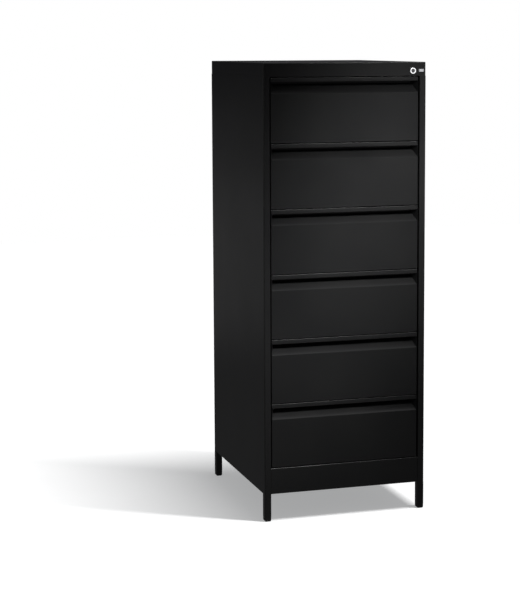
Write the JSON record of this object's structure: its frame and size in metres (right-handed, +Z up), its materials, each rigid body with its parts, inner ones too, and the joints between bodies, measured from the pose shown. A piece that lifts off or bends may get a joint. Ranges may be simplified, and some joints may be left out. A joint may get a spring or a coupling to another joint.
{
  "type": "tall chest of drawers",
  "caption": "Tall steel filing chest: full-width drawers with recessed grips on telescopic runners, in a folded sheet body on four short legs, with a lock that lifts a locking bar.",
  "frame": {"origin": "on the floor, at the centre of the footprint's bounding box", "axes": "+X to the right seen from the front, +Y to the back, +Z up"},
  "size_m": [0.505, 0.5934, 1.357],
  "materials": {
    "black_paint": "semi-matt powder coat with a fine orange-peel texture",
    "zinc": "zinc-plated, satin",
    "chrome": "polished",
    "aluminium": "satin, blank",
    "black_plastic": "moulded, matt",
    "rubber": "matt"
  },
  "bodies": {
    "cabinet": {"top_cover": "black_paint", "left_side_panel": "black_paint", "right_side_panel": "black_paint", "rear_panel": "black_paint", "base_panel": "black_paint", "plinth_panel": "black_paint", "front_left_leg_post": "black_paint", "front_right_leg_post": "black_paint", "rear_left_leg_post": "black_paint", "rear_right_leg_post": "black_paint", "leg_glides": "black_plastic", "left_rail_uprights": "zinc", "right_rail_uprights": "zinc", "rear_panel_rivets": "black_paint", "drawer_bumpers": "rubber", "cabinet_rails_1": "zinc", "cabinet_rails_2": "zinc", "cabinet_rails_3": "zinc", "cabinet_rails_4": "zinc", "cabinet_rails_5": "zinc", "cabinet_rails_6": "zinc", "lock_housing": "chrome", "lock_bar_guides": "zinc", "blank_badge": "aluminium"},
    "drawer_1": {"drawer_front_1": "black_paint", "drawer_tray_1": "black_paint", "drawer_divider_1": "zinc", "drawer_rails_1": "zinc"},
    "runner_1": {"middle_rails_1": "zinc"},
    "drawer_2": {"drawer_front_2": "black_paint", "drawer_tray_2": "black_paint", "drawer_divider_2": "zinc", "drawer_rails_2": "zinc"},
    "runner_2": {"middle_rails_2": "zinc"},
    "drawer_3": {"drawer_front_3": "black_paint", "drawer_tray_3": "black_paint", "drawer_divider_3": "zinc", "drawer_rails_3": "zinc"},
    "runner_3": {"middle_rails_3": "zinc"},
    "drawer_4": {"drawer_front_4": "black_paint", "drawer_tray_4": "black_paint", "drawer_divider_4": "zinc", "drawer_rails_4": "zinc"},
    "runner_4": {"middle_rails_4": "zinc"},
    "drawer_5": {"drawer_front_5": "black_paint", "drawer_tray_5": "black_paint", "drawer_divider_5": "zinc", "drawer_rails_5": "zinc"},
    "runner_5": {"middle_rails_5": "zinc"},
    "drawer_6": {"drawer_front_6": "black_paint", "drawer_tray_6": "black_paint", "drawer_divider_6": "zinc", "drawer_rails_6": "zinc"},
    "runner_6": {"middle_rails_6": "zinc"},
    "lock_cylinder": {"lock_plug": "chrome", "lock_cam": "zinc"},
    "locking_bar": {"locking_bar": "zinc", "locking_bar_arm": "zinc", "locking_bar_lugs": "zinc"}
  },
  "joints": [
    {"name": "drawer_1_slide", "type": "slide", "parent": "cabinet", "child": "drawer_1", "axis": [0, -1, 0], "range_m": [0, 0.5]},
    {"name": "runner_1_slide", "type": "slide", "parent": "cabinet", "child": "runner_1", "axis": [0, -1, 0], "range_m": [0, 0.25]},
    {"name": "drawer_2_slide", "type": "slide", "parent": "cabinet", "child": "drawer_2", "axis": [0, -1, 0], "range_m": [0, 0.5]},
    {"name": "runner_2_slide", "type": "slide", "parent": "cabinet", "child": "runner_2", "axis": [0, -1, 0], "range_m": [0, 0.25]},
    {"name": "drawer_3_slide", "type": "slide", "parent": "cabinet", "child": "drawer_3", "axis": [0, -1, 0], "range_m": [0, 0.5]},
    {"name": "runner_3_slide", "type": "slide", "parent": "cabinet", "child": "runner_3", "axis": [0, -1, 0], "range_m": [0, 0.25]},
    {"name": "drawer_4_slide", "type": "slide", "parent": "cabinet", "child": "drawer_4", "axis": [0, -1, 0], "range_m": [0, 0.5]},
    {"name": "runner_4_slide", "type": "slide", "parent": "cabinet", "child": "runner_4", "axis": [0, -1, 0], "range_m": [0, 0.25]},
    {"name": "drawer_5_slide", "type": "slide", "parent": "cabinet", "child": "drawer_5", "axis": [0, -1, 0], "range_m": [0, 0.5]},
    {"name": "runner_5_slide", "type": "slide", "parent": "cabinet", "child": "runner_5", "axis": [0, -1, 0], "range_m": [0, 0.25]},
    {"name": "drawer_6_slide", "type": "slide", "parent": "cabinet", "child": "drawer_6", "axis": [0, -1, 0], "range_m": [0, 0.5]},
    {"name": "runner_6_slide", "type": "slide", "parent": "cabinet", "child": "runner_6", "axis": [0, -1, 0], "range_m": [0, 0.25]},
    {"name": "lock_turn", "type": "hinge", "parent": "cabinet", "child": "lock_cylinder", "pos_m": [0.2105, -0.2943, 1.331], "axis": [0, 1, 0], "range_deg": [0, 90]},
    {"name": "bar_lift", "type": "slide", "parent": "cabinet", "child": "locking_bar", "axis": [0, 0, 1], "range_m": [0, 0.01697]}
  ],
  "couplings": [
    {"joint": "runner_1_slide", "follows": "drawer_1_slide", "ratio": 0.5},
    {"joint": "runner_2_slide", "follows": "drawer_2_slide", "ratio": 0.5},
    {"joint": "runner_3_slide", "follows": "drawer_3_slide", "ratio": 0.5},
    {"joint": "runner_4_slide", "follows": "drawer_4_slide", "ratio": 0.5},
    {"joint": "runner_5_slide", "follows": "drawer_5_slide", "ratio": 0.5},
    {"joint": "runner_6_slide", "follows": "drawer_6_slide", "ratio": 0.5},
    {"joint": "lock_turn", "follows": "bar_lift", "rad_per_m": 92.563}
  ]
}
